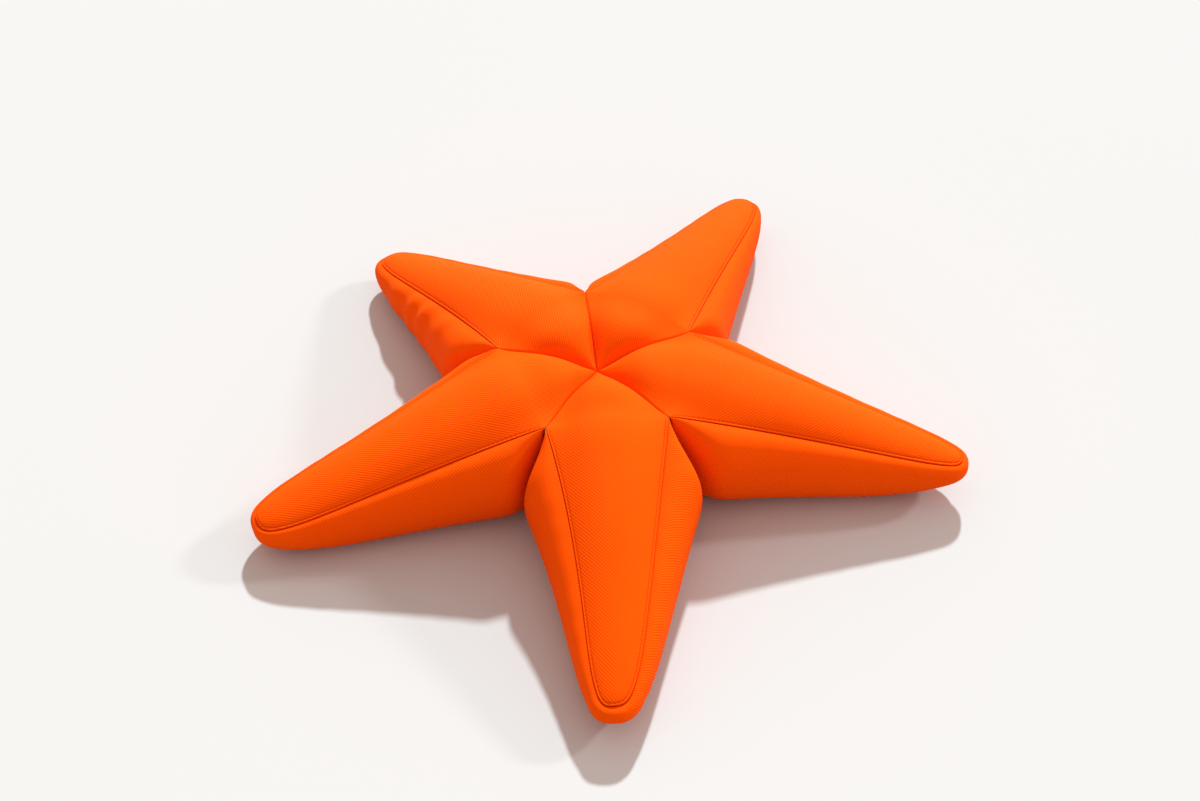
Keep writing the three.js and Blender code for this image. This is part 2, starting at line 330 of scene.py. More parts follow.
def joined(grids):
    """Several grids, each (points, flipped), as one list of points and one list of quads."""
    points, faces, start = [], [], 0
    for grid, flipped in grids:
        points.append(grid.reshape(-1, 3))
        faces.append(grid_faces(grid.shape[:2], flipped) + start)
        start += grid.shape[0] * grid.shape[1]
    return np.concatenate(points), np.concatenate(faces)


def welded(points, faces):
    """Points closer than a hundredth of a millimetre made one, and quads as triangles without
    those that the weld has squeezed to a line. Also gives each old point's new number."""
    keys = np.round(points / (0.01 * MM)).astype(np.int64)
    _, first, number = np.unique(keys, axis=0, return_index=True, return_inverse=True)
    number = number.ravel()
    triangles = number[np.concatenate([faces[:, [0, 1, 2]], faces[:, [0, 2, 3]]])]
    a, b, c = triangles.T
    return points[first], triangles[(a != b) & (b != c) & (c != a)], number


def piece(name, points, faces, material, uv=None, painted_light=None):
    """A smooth mesh object. uv and the painted light, which is painted shade and painted highlight
    along the seams, hold one row for each point. A face of four whose last two corners are the same
    is a triangle."""
    mesh = bpy.data.meshes.new(name)
    kept = np.ones(faces.shape, bool)
    if faces.shape[1] == 4:
        kept[:, 3] = faces[:, 3] != faces[:, 2]
    used, corners = np.unique(faces[kept], return_inverse=True)
    starts = np.concatenate([[0], np.cumsum(kept.sum(1))[:-1]])
    mesh.vertices.add(len(used))
    mesh.vertices.foreach_set("co", points[used].astype(np.float32).ravel())
    mesh.loops.add(len(corners))
    mesh.loops.foreach_set("vertex_index", corners.astype(np.int32).ravel())
    mesh.polygons.add(len(faces))
    mesh.polygons.foreach_set("loop_start", starts.astype(np.int32))
    mesh.polygons.foreach_set("use_smooth", np.ones(len(faces), bool))
    mesh.update(calc_edges=True)
    if uv is not None:
        layer = mesh.uv_layers.new(name="cloth")
        layer.data.foreach_set("uv", uv[used][corners.ravel()].astype(np.float32).ravel())
    if painted_light is not None:
        attribute = mesh.attributes.new("seam_painted_light", "FLOAT", "POINT")
        attribute.data.foreach_set("value", painted_light[used].astype(np.float32).ravel())
    mesh.materials.append(material)
    made = bpy.data.objects.new(name, mesh)
    bpy.context.scene.collection.objects.link(made)
    return made


class Value:
    """A node's output that can be reckoned with: each operation adds a Math node."""

    def __init__(self, shader, socket):
        self.shader = shader
        self.socket = socket

    def math(self, operation, *others):
        """A Math node that takes this value first and then the others."""
        inputs = dict(enumerate((self, *others)))
        return self.shader.node("ShaderNodeMath", {"operation": operation}, inputs)

    def __add__(self, other):
        return self.math("ADD", other)

    def __mul__(self, other):
        return self.math("MULTIPLY", other)

    def __sub__(self, other):
        return self.math("SUBTRACT", other)

    def __pow__(self, other):
        return self.math("POWER", other)

    def __rsub__(self, other):
        return self * -1 + other

    __radd__ = __add__
    __rmul__ = __mul__


class Shader:
    """The nodes of one material."""

    def __init__(self, name):
        self.material = bpy.data.materials.new(name)
        self.material.use_nodes = True
        self.tree = self.material.node_tree
        self.tree.nodes.clear()

    def node(self, kind, settings=(), inputs=(), output=0):
        """Adds a node, makes its settings, then sets or links its sockets by name or number."""
        made = self.tree.nodes.new(kind)
        for name, value in dict(settings).items():
            setattr(made, name, value)
        for name, value in dict(inputs).items():
            if isinstance(value, Value):
                self.tree.links.new(value.socket, made.inputs[name])
            else:
                made.inputs[name].default_value = value
        return Value(self, made.outputs[output]) if made.outputs else None

    def mix(self, factor, a, b):
        """Colour a turned into colour b by factor."""
        settings = {"data_type": "RGBA"}
        return self.node("ShaderNodeMix", settings, {0: factor, 6: a, 7: b}, 2)

    def noise(self, coordinates, scale, detail=2.0):
        """Soft noise from 0 to 1 with that many lumps to a metre."""
        inputs = {"Vector": coordinates, "Scale": scale, "Detail": detail}
        return self.node("ShaderNodeTexNoise", {}, inputs)

    def surface(self, **inputs):
        """Ends the tree in a Principled shader. Names of sockets are given with _ for spaces."""
        named = {name.replace("_", " "): value for name, value in inputs.items()}
        shader = self.node("ShaderNodeBsdfPrincipled", {}, named)
        self.node("ShaderNodeOutputMaterial", {}, {"Surface": shader})
        return self.material


def fibre_material():
    """White polyester: soft clumps with fine tangled hairs over them."""
    shader = Shader("polyester_fibre")
    place = shader.node("ShaderNodeTexCoord", output=3)
    clumps = shader.noise(place, 40, 3.0)
    hairs = shader.noise(place, 900, 4.0)
    colour = shader.mix(clumps, (0.78, 0.77, 0.74, 1), (0.95, 0.94, 0.92, 1))
    height = clumps * 0.004 + hairs * 0.0006
    bump = shader.node("ShaderNodeBump", {}, {"Strength": 0.8, "Distance": 1.0, "Height": height})
    return shader.surface(Base_Color=colour, Roughness=0.95, Normal=bump)


def point_normals(points, triangles):
    """The outward direction at each point: the mean of the triangles round it by their areas."""
    a, b, c = points[triangles.T]
    across = np.cross(b - a, c - a)
    normals = np.zeros_like(points)
    for corner in triangles.T:
        np.add.at(normals, corner, across)
    return normals / np.linalg.norm(normals, axis=1)[:, None]


def waves(points, lengths, phases):
    """Soft lumps from -1 to 1: the mean of three crossed sines of the given lengths."""
    return np.sin(points * 2 * np.pi / lengths + phases).mean(-1)


FILLING_DEPTH = 4.5 * MM
LUMP_HEIGHT = 1.2 * MM
LUMP_LENGTHS = np.array([31, 23, 27]) * MM
TUFT_HEIGHT = 0.5 * MM
TUFT_LENGTHS = np.array([7, 9, 8]) * MM
PHASES = np.array([0.3, 1.9, 4.1])
CROTCH_GAP = 6 * MM
CROTCH_GAP_REACH = 12 * MM

filling_rows = np.concatenate([np.linspace(-1, 0, 20)[:-1], 1 - spaced(64, 226, 200)[::-1]])
filling_columns = np.linspace(-1, 1, 31)
filling_turns = np.linspace(0, 1, 25)
filling_grids = []
for arm in ARMS:
    leaf = (filling_rows[:, None], filling_columns)
    path = outline(filling_rows[filling_rows >= 0], filling_columns)
    filling_grids += [
        (corners_drawn_in(top_surface(arm, *leaf)), True),
        (band_surface(arm, *path, filling_turns), True),
        (corners_drawn_in(base_surface(arm, *leaf)), False),
    ]
points, triangles, _ = welded(*joined(filling_grids))
depth = FILLING_DEPTH + LUMP_HEIGHT * waves(points, LUMP_LENGTHS, PHASES)
depth += TUFT_HEIGHT * waves(points, TUFT_LENGTHS, PHASES)
crotch_bearings = FIRST_BEARING + HALF_SECTOR * (2 * np.arange(ARM_COUNT) + 1)
crotches = CROTCH_RADIUS * np.stack([np.cos(crotch_bearings), np.sin(crotch_bearings)], -1)
away = np.linalg.norm(points[:, None, :2] - crotches, axis=-1).min(1)
depth += CROTCH_GAP * np.exp(-((away / CROTCH_GAP_REACH) ** 2))
points = points - point_normals(points, triangles) * depth[:, None]
filling = piece("fibre_filling", points, triangles, fibre_material())
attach(filling, "root")
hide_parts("filling")

# Stuffed cover -------------------------------------------------------------------------------
# The filling presses the sewn cover out until the twill is taut between its seams. Here the whole
# cover is one net of cloth, held at its seams and at its base, and the pressure rounds the panels
# and draws them off the seams. The panels below take on the result.

PRESSURE = 2.5
PRESSURE_FRAMES = 20
GREATEST_SHIFT = 3 * MM
net_rows = np.concatenate([np.linspace(-1, 0, 13)[:-1], np.linspace(0, 1, 39)])
net_columns = np.linspace(-1, 1, 17)
net_turns = np.linspace(0, 1, 14)


def pressed(points, triangles, sewn):
    """How far each point of the closed net moves when Cloth fills it, with sewn points held."""
    cloth_net = piece("cover_net", points, triangles, None)
    group = cloth_net.vertex_groups.new(name="sewn")
    group.add(np.flatnonzero(sewn).tolist(), 1.0, "REPLACE")
    cloth = cloth_net.modifiers.new("pressure", "CLOTH")
    cloth.settings.use_pressure = True
    cloth.settings.uniform_pressure_force = PRESSURE
    cloth.settings.effector_weights.gravity = 0
    cloth.settings.vertex_group_mass = "sewn"
    cloth.settings.tension_stiffness = 40.0
    cloth.settings.bending_stiffness = 20.0
    cloth.point_cache.frame_start = 1
    cloth.point_cache.frame_end = PRESSURE_FRAMES
    scene = bpy.context.scene
    for step in range(1, PRESSURE_FRAMES + 1):
        scene.frame_set(step)
    held = cloth_net.evaluated_get(bpy.context.evaluated_depsgraph_get()).to_mesh()
    moved = np.empty(len(points) * 3, np.float32)
    held.vertices.foreach_get("co", moved)
    bpy.data.objects.remove(cloth_net)
    scene.frame_set(1)
    shift = moved.reshape(-1, 3) - points
    length = np.maximum(np.linalg.norm(shift, axis=1), 1e-9)[:, None]
    return shift / length * GREATEST_SHIFT * np.tanh(length / GREATEST_SHIFT)


net_path = outline(net_rows[net_rows >= 0], net_columns)
net_grids, net_held = [], []
for arm in ARMS:
    leaf = (net_rows[:, None], net_columns)
    top = corners_drawn_in(top_surface(arm, *leaf))
    band = band_surface(arm, *net_path, net_turns)
    base = corners_drawn_in(base_surface(arm, *leaf))
    net_grids += [(top, True), (band, True), (base, False)]
    on_leaf = (np.abs(net_columns) == 1) | (net_rows[:, None] == 1) | (net_rows[:, None] == -1)
    on_band = (net_turns[:, None] % 1 == 0) | (np.arange(len(net_path[0])) == 0)
    on_band |= np.arange(len(net_path[0])) == len(net_path[0]) - 1
    net_held += [on_leaf.ravel(), on_band.ravel(), np.ones(top.shape[0] * top.shape[1], bool)]
points, triangles, number = welded(*joined(net_grids))
sewn = np.zeros(len(points), bool)
np.logical_or.at(sewn, number, np.concatenate(net_held))
shift = pressed(points, triangles, sewn)
sizes = np.cumsum([grid.shape[0] * grid.shape[1] for grid, _ in net_grids])
net_shifts = [
    part.reshape(grid.shape)
    for part, (grid, _) in zip(np.split(shift[number], sizes[:-1]), net_grids)
]


def spline_weights(places, wanted):
    """A matrix that carries values at the given places to the wanted ones on a smooth cubic."""
    index = np.interp(wanted, places, np.arange(len(places)))
    first = np.minimum(index.astype(int), len(places) - 2)
    t = index - first
    parts = [
        (-t + 2 * t**2 - t**3) / 2,
        (2 - 5 * t**2 + 3 * t**3) / 2,
        (t + 4 * t**2 - 3 * t**3) / 2,
        (t**3 - t**2) / 2,
    ]
    weights = np.zeros((len(wanted), len(places)))
    for offset, part in enumerate(parts):
        column = np.clip(first + offset - 1, 0, len(places) - 1)
        np.add.at(weights, (np.arange(len(wanted)), column), part)
    return weights


def carried(shifts, rows, columns):
    """A net's shifts at the points of a finer grid, given the two matrices of weights."""
    return np.einsum("ri,ijk,cj->rck", rows, shifts, columns)


# Top panels ----------------------------------------------------------------------------------
# Five leaves of orange twill, each cut with its ribs on a slant. Neighbours are joined by plain
# seams from the hub to the crotches. Round the arm the seam's allowance is turned under the leaf
# and topstitched, which leaves a narrow rounded ridge between the seam and the line of stitches.

CLOTH_THICKNESS = 0.8 * MM
SEAM_SINK = 1.3 * MM
SINK_REACH = 6 * MM
CREASE_DEPTH = 0.9 * MM
CREASE_WIDTH = 0.6 * MM
RIDGE_PLACE = 1.3 * MM
RIDGE_HEIGHT = 0.55 * MM
RIDGE_WIDTH = 0.75 * MM
STITCH_PLACE = 2.9 * MM
STITCH_DEPTH = 0.45 * MM
STITCH_WIDTH = 0.6 * MM
STITCH_PITCH = 3.8 * MM
PLAIN_SINK = 1.6 * MM
DIRECTION_REACH = 6 * MM
CROTCH_TURN = 9 * MM
SEAM_CLEARANCE = 7 * MM
TOP_SEAM_RISE = 0.9  # a seam's direction rises this much for 1 outward
BASE_SEAM_RISE = -1.2
SCAN_DEPTH = 40  # how many points in from the edge the stitch line is looked for
LINE_STEP = 0.5 * MM
BATCH = 4000  # points measured at once, to save memory
RIB_PITCH = 2.0 * MM
TOP_RIB_ANGLES = (40, 45, 50, -35, -38)

arm_rows = 1 - spaced(210, 226, 50)[::-1]
top_rows = np.concatenate([np.linspace(-1, 0, 66)[:-1], arm_rows])
half_columns = spaced(44, 52, 8) - 1
top_columns = np.concatenate([half_columns, -half_columns[-2::-1]])
border_path = outline(arm_rows, top_columns)


def twill_material():
    """Orange cotton twill. One unit of the cloth's map is one rib. Each rib is a rounded ridge of
    short yarns with a furrow beside it, darkened as painted shade, and a soft fuzz lies over the
    cloth. The seam attribute paints shade into creases and stitch furrows below 0 and paints a
    highlight on the raised ridges above it."""
    shader = Shader("orange_twill")
    cloth = shader.node("ShaderNodeUVMap", {"uv_map": "cloth"})
    along = shader.node("ShaderNodeSeparateXYZ", {}, {0: cloth}, 0)
    across = shader.node("ShaderNodeSeparateXYZ", {}, {0: cloth}, 1)
    place = shader.node("ShaderNodeTexCoord", output=3)
    wander = shader.noise(place, 60, 2.0)
    rib = ((across + wander * 0.5) * np.pi).math("SINE").math("ABSOLUTE")
    ridge = rib**0.6
    step = (across + wander * 0.5).math("FLOOR") * 0.37
    yarn = ((along * 1.6 + step) * np.pi).math("SINE").math("ABSOLUTE") ** 0.5
    height = ridge * (yarn * 0.25 + 0.75)
    patches = shader.noise(place, 14, 3.0)
    fuzz = shader.noise(place, 1400, 2.0)
    # The seam attribute is painted light: below 0 painted shade in creases and stitch furrows,
    # above 0 a painted highlight on the raised ridges.
    seam = shader.node("ShaderNodeAttribute", {"attribute_name": "seam_painted_light"}, output=2)
    painted_seam_shade = (seam * -1).math("MAXIMUM", 0.0)
    light = seam.math("MAXIMUM", 0.0)
    body = shader.mix(patches, (0.9, 0.084, 0.0008, 1), (0.93, 0.103, 0.001, 1))
    # The furrow beside each rib is darkened as painted shade.
    painted_furrow_shade = (1 - height) * 0.8
    colour = shader.mix(painted_furrow_shade, body, (0.78, 0.032, 0.0008, 1))
    colour = shader.mix((fuzz - 0.35) * 0.2, colour, (1.0, 0.14, 0.006, 1))
    colour = shader.mix(light * 0.25, colour, (1.0, 0.14, 0.006, 1))
    colour = shader.mix(painted_seam_shade * 0.45, colour, (0.45, 0.012, 0.0005, 1))
    bump = shader.node(
        "ShaderNodeBump",
        {},
        {"Strength": 1.0, "Distance": 1.0, "Height": height * 0.0002 + fuzz * 0.00008},
    )
    return shader.surface(
        Base_Color=colour,
        Roughness=0.8,
        Specular_IOR_Level=0.05,
        Specular_Tint=(1.0, 0.4, 0.02, 1),
        Normal=bump,
    )


def grid_normals(grid, flipped):
    """The direction square to a grid at each point. flipped is as for grid_faces."""
    normals = np.cross(np.gradient(grid, axis=1), np.gradient(grid, axis=0))
    if flipped:
        normals = -normals
    length = np.linalg.norm(normals, axis=-1, keepdims=True)
    normals = normals / np.maximum(length, 1e-15)
    normals[0] = np.where(length[0] < 1e-13, normals[1], normals[0])
    return normals


def nearest_on(points, line):
    """For each point, the distance to a line of points, and the place along it as an index with
    its fraction. The nearest point of the line is found first, then the two spans that meet it."""
    shape = points.shape[:-1]
    points = points.reshape(-1, 3)
    nearest = np.empty(len(points), int)
    square = (line**2).sum(1)
    for start in range(0, len(points), BATCH):
        some = points[start : start + BATCH]
        nearest[start : start + BATCH] = (square - 2 * some @ line.T).argmin(1)
    best = np.full(len(points), np.inf)
    place = np.zeros(len(points))
    for first in (np.maximum(nearest - 1, 0), np.minimum(nearest, len(line) - 2)):
        span = line[first + 1] - line[first]
        share = ((points - line[first]) * span).sum(1) / np.maximum((span**2).sum(1), 1e-18)
        share = np.clip(share, 0, 1)
        distance = np.linalg.norm(points - line[first] - span * share[:, None], axis=1)
        place = np.where(distance < best, first + share, place)
        best = np.minimum(distance, best)
    return best.reshape(shape), place.reshape(shape)


def at_place(values, place):
    """Values along a line at an index with its fraction."""
    first = np.minimum(place.astype(int), len(values) - 2)
    share = place - first
    if values.ndim > 1:
        share = share[..., None]
    return lerp(values[first], values[first + 1], share)


def lengths_along(line):
    """The length of a line from its start to each of its points."""
    steps = np.linalg.norm(np.diff(line, axis=0), axis=-1)
    return np.concatenate([np.zeros((1, *steps.shape[1:])), np.cumsum(steps, axis=0)])


def unit(vectors):
    """Vectors of length 1 in the same directions."""
    return vectors / np.linalg.norm(vectors, axis=-1, keepdims=True)


def hump(distance, place, width):
    """A bell curve that is 1 at place and falls off over width on both sides."""
    return np.exp(-(((distance - place) / width) ** 2))


def seam_directions(arm, path, upward):
    """The direction in which a seam sinks, shared by the panels on both sides of it: halfway
    between outward and up or down. Beside a crotch it turns into the plane between the arms."""
    x, _, _ = leaf_plan(arm, *path)
    top = top_surface(arm, *path)
    step = np.gradient(top[:, :2], axis=0)
    outward = unit(np.stack([step[:, 1], -step[:, 0]], -1))
    sides = np.sign(path[1])[:, None]
    crotch = unit(np.cos(HALF_SECTOR) * arm.along + sides * np.sin(HALF_SECTOR) * arm.left)
    turned = smooth(x - CROTCH_X, 0, CROTCH_TURN)[:, None]
    outward = unit(lerp(crotch, outward, turned))
    return unit(np.concatenate([outward, np.full((len(x), 1), upward)], -1))


def level_line(grid, distance, length, level):
    """The line on a leaf at one distance from its seam, with the leaf's outward directions there.

    Each row is searched inwards from both sides and each column from the nose, the crossing is
    placed between two points of the grid, and crossings are put in order of the seam's length."""
    normals = grid_normals(grid, True)
    rows = len(arm_rows)
    half = grid.shape[1] // 2
    found = []
    for axis, part in ((1, np.s_[-rows:, :half]), (1, np.s_[-rows:, :half:-1]), (0, np.s_[::-1])):
        away = np.moveaxis(distance[part], axis, 0)
        values = [np.moveaxis(a[part], axis, 0) for a in (grid, normals, length[..., None])]
        past = (away > level).argmax(0)
        line = np.flatnonzero((past > 0) & (past < SCAN_DEPTH))
        past = past[line]
        share = (level - away[past - 1, line]) / (away[past, line] - away[past - 1, line])
        found.append([lerp(v[past - 1, line], v[past, line], share[:, None]) for v in values])
    places, directions, lengths = (np.concatenate(parts) for parts in zip(*found))
    order = lengths[:, 0].argsort()
    places, directions, lengths = places[order], directions[order], lengths[order, 0]
    even = np.arange(lengths[0] + STITCH_PITCH / 2, lengths[-1] - STITCH_PITCH / 2, LINE_STEP)
    even_line = [np.interp(even, lengths, v[:, k]) for v in (places, directions) for k in range(3)]
    return np.stack(even_line[:3], -1), np.stack(even_line[3:], -1)


def cloth_map(along, across, angle):
    """The cloth's own map in ribs, turned so that ribs run at angle to the along direction."""
    turn = np.deg2rad(angle)
    rows = along * np.cos(turn) + across * np.sin(turn)
    ribs = across * np.cos(turn) - along * np.sin(turn)
    return np.stack([rows, ribs], -1).reshape(-1, 2) / RIB_PITCH


def leaf_faces(shape):
    """The faces of a leaf's grid. At the two shoulders of its nose the outline runs straight
    through the grid's corner, so the quad there is a triangle that leaves the corner out."""
    quads = grid_faces(shape, True).reshape(shape[0] - 1, shape[1] - 1, 4)
    a, d, c, b = quads[-1, 0].copy()
    quads[-1, 0] = (a, c, b, b)
    a, d, c, b = quads[-1, -1].copy()
    quads[-1, -1] = (a, d, b, b)
    return quads.reshape(-1, 4)


def finished(made, *nodes):
    """Gives a panel its cloth thickness, puts it under the root body and hides the CAD nodes it
    replaces.
    """
    thickness = made.modifiers.new("cloth_thickness", "SOLIDIFY")
    thickness.thickness = CLOTH_THICKNESS
    thickness.offset = -1
    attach(made, "root")
    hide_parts(*nodes)


twill = twill_material()
top_weights = (spline_weights(net_rows, top_rows), spline_weights(net_columns, top_columns))
seam_sinks, stitch_lines = [], []
for arm, rib_angle in zip(ARMS, TOP_RIB_ANGLES):
    u, side = np.broadcast_arrays(top_rows[:, None], top_columns)
    grid = top_surface(arm, u, side)
    grid = grid + carried(net_shifts[3 * (arm.number - 1)], *top_weights)
    normals = grid_normals(grid, True)
    edge = top_surface(arm, *border_path)
    edge_directions = seam_directions(arm, border_path, TOP_SEAM_RISE)
    edge_lengths = lengths_along(edge)
    plain_seams = [grid[: len(top_rows) - len(arm_rows) + 1, column] for column in (0, -1)]
    to_edge, edge_place = nearest_on(grid, edge)
    to_plain = np.minimum(*[nearest_on(grid, line)[0] for line in plain_seams])
    length = at_place(edge_lengths, edge_place)
    clear = smooth(to_plain, 0, SEAM_CLEARANCE)
    stitch = 0.75 + 0.25 * np.cos(2 * np.pi * length / STITCH_PITCH)
    sink = SEAM_SINK * np.exp(-to_edge / SINK_REACH) + CREASE_DEPTH * hump(to_edge, 0, CREASE_WIDTH)
    plain = PLAIN_SINK * np.exp(-to_plain / SINK_REACH)
    plain += CREASE_DEPTH * hump(to_plain, 0, 1.6 * CREASE_WIDTH)
    rise = RIDGE_HEIGHT * hump(to_edge, RIDGE_PLACE, RIDGE_WIDTH)
    rise -= STITCH_DEPTH * stitch * hump(to_edge, STITCH_PLACE, STITCH_WIDTH)
    raised = rise * clear - np.hypot(sink, plain)
    in_hub = (u < 0)[..., None]
    hub_direction = lerp(np.array([0, 0, 1.0]), edge_directions[0], smooth(u, -0.2, 0)[..., None])
    left_direction = lerp(np.array([0, 0, 1.0]), edge_directions[-1], smooth(u, -0.2, 0)[..., None])
    hub_direction = np.where(side[..., None] > 0, left_direction, hub_direction)
    nearest = np.where(in_hub, hub_direction, at_place(edge_directions, edge_place))
    own = smooth(np.minimum(to_edge, to_plain), 0, DIRECTION_REACH)[..., None]
    directions = unit(lerp(nearest, normals, own))
    grid = grid + directions * raised[..., None]
    # Painted light along the seam: a painted highlight on the raised ridge, painted shade in the
    # stitch furrow and in the creases of both seams.
    painted_light = 0.55 * hump(to_edge, RIDGE_PLACE, RIDGE_WIDTH)
    painted_light -= (0.6 + 0.4 * stitch) * hump(to_edge, STITCH_PLACE, 0.8 * STITCH_WIDTH)
    painted_light = painted_light * clear - 0.8 * hump(np.minimum(to_edge, to_plain), 0, 0.8 * CREASE_WIDTH)
    stitch_lines.append(level_line(grid, to_edge, length, STITCH_PLACE))
    seam_sinks.append(-raised[u >= 0].reshape(-1, len(top_columns)))
    middle = len(top_columns) // 2
    x, _, _ = leaf_plan(arm, u, side)
    along = lengths_along(grid[:, middle])[:, None] + x - x[:, middle : middle + 1]
    across = lengths_along(grid.swapaxes(0, 1)).T
    across = across - across[:, middle : middle + 1]
    points = grid.reshape(-1, 3)
    uv = cloth_map(along, across, rib_angle)
    faces = leaf_faces(grid.shape[:2])
    top = piece(f"top_panel_cover_{arm.number}", points, faces, twill, uv, painted_light.ravel())
    finished(top, f"top_panel_{arm.number}")

# Topstitching --------------------------------------------------------------------------------
# One row of thread on each leaf, sewn by machine through the leaf and the allowance below it. It
# lies in the furrow that it draws, a little inside the seam.

THREAD_WIDTH = 0.55 * MM
THREAD_GAP = 0.16  # share of the pitch that is under the cloth
THREAD_LIFT = 0.12 * MM
THREAD_DIP = 6  # the power of the distance from a stitch's middle at which it dips
THREAD_THINNING = 0.75
RING_CROWDING = 0.35  # how much closer the sections are about a stitch's middle
THREAD_RINGS = 7
THREAD_SIDES = 6


def thread_material():
    """Orange sewing thread with a slight twist and a soft gloss."""
    shader = Shader("orange_thread")
    thread = shader.node("ShaderNodeUVMap", {"uv_map": "cloth"})
    along = shader.node("ShaderNodeSeparateXYZ", {}, {0: thread}, 0)
    round_it = shader.node("ShaderNodeSeparateXYZ", {}, {0: thread}, 1)
    twist = ((along * 5.0 + round_it) * np.pi).math("SINE").math("ABSOLUTE")
    # The colour is darker in the grooves of the twist, as painted shade.
    colour = shader.mix(twist, (0.74, 0.036, 0.0006, 1), (0.88, 0.065, 0.0008, 1))
    bump = shader.node(
        "ShaderNodeBump", {}, {"Strength": 0.6, "Distance": 1.0, "Height": twist * 0.00006}
    )
    return shader.surface(
        Base_Color=colour,
        Roughness=0.7,
        Specular_IOR_Level=0.1,
        Specular_Tint=(1.0, 0.4, 0.02, 1),
        Normal=bump,
    )


def stitches(line, normals):
    """Short capsules end to end along a line of points. Each is a round section carried along the
    line, which thins and dips into the cloth at both ends as a high power of the distance from
    the stitch's middle."""
    length = lengths_along(line)
    count = int(length[-1] / STITCH_PITCH)
    pitch = length[-1] / count
    even = np.linspace(-1, 1, THREAD_RINGS)
    share = lerp(even, even**3, RING_CROWDING)
    places = (np.arange(count)[:, None] + 0.5 + share * (1 - THREAD_GAP) / 2) * pitch
    axis = np.stack([np.interp(places, length, line[:, k]) for k in range(3)], -1)
    up = unit(np.stack([np.interp(places, length, normals[:, k]) for k in range(3)], -1))
    tangent = unit(axis[:, -1] - axis[:, 0])[:, None]
    across = unit(np.cross(tangent, up))
    ends = np.abs(share) ** THREAD_DIP
    radius = THREAD_WIDTH / 2 * (1 - THREAD_THINNING * ends)
    axis = axis + up * (THREAD_LIFT - THREAD_WIDTH * ends)[:, None]
    turn = np.arange(THREAD_SIDES) * 2 * np.pi / THREAD_SIDES
    ring = across[:, :, None] * np.cos(turn)[:, None] + up[:, :, None] * np.sin(turn)[:, None]
    points = axis[:, :, None] + ring * radius[:, None, None]
    number = np.arange(THREAD_RINGS * THREAD_SIDES).reshape(THREAD_RINGS, THREAD_SIDES)
    after = np.roll(number, -1, axis=1)
    sides = np.stack([number[:-1], after[:-1], after[1:], number[1:]], -1).reshape(-1, 4)
    start, end = number[0], number[-1][::-1]
    caps = np.array([[c[3], c[2], c[1], c[0]] for c in (start, end)])
    caps = np.concatenate([caps, [[c[5], c[4], c[3], c[0]] for c in (start, end)]])
    faces = np.concatenate([sides, caps])
    faces = faces + (np.arange(count) * number.size)[:, None, None]
    uv = np.stack(np.broadcast_arrays(share[:, None], turn / np.pi), -1)
    uv = np.broadcast_to(uv, (count, *uv.shape)).reshape(-1, 2)
    return points.reshape(-1, 3), faces.reshape(-1, 4), uv


thread = thread_material()
for arm, (line, normals) in zip(ARMS, stitch_lines):
    points, faces, uv = stitches(line, normals)
    made = piece(f"topstitch_{arm.number}", points, faces, thread, uv)
    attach(made, "root")

# Side bands ----------------------------------------------------------------------------------
# One strip of twill round each arm, from crotch to crotch round the tip. It is sewn to the leaf
# above it and to the base below it, and the filling swells it out between the two seams. Arm 4's
# left band has deep puckers square to its seam.

BAND_RIB_ANGLE = 62
PUCKER_LENGTH = 30 * MM
PUCKER_HEIGHT = 0.12 * MM
DEEP_PUCKER_HEIGHT = 1.2 * MM
PUCKER_REACH = 8 * MM
DEEP_PUCKER_REACH = 17 * MM
PUCKERED_ARM = 4
DEEP_FROM = 0.42, 0.5  # shares of the plain reach over which the deep puckers start and end
DEEP_TO = 0.93, 0.8
UNEVENNESS = 0.15  # of the puckers, in pucker lengths
UNEVEN_LENGTH = 14 * MM
PUCKER_BASE_CLEARANCE = 10 * MM
PUCKER_CROTCH_CLEARANCE = 30 * MM
BAND_SINK_REACH = 0.8 * SINK_REACH
NOSE_SHARE = 0.15  # a nose's length over an arm's
band_turns = np.concatenate([spaced(38, 60, 5)[:-1] / 2, 1 - spaced(26, 60, 10)[::-1] / 2])


def path_place(path):
    """How far along an outline each point of a path is: rows up one side, then columns round the
    nose, then rows down the other side."""
    u, side = path
    nose = 1 + (side + 1) * NOSE_SHARE / 2
    return np.where(u == 1, nose, np.where(side < 0, u, 2 + NOSE_SHARE - u))


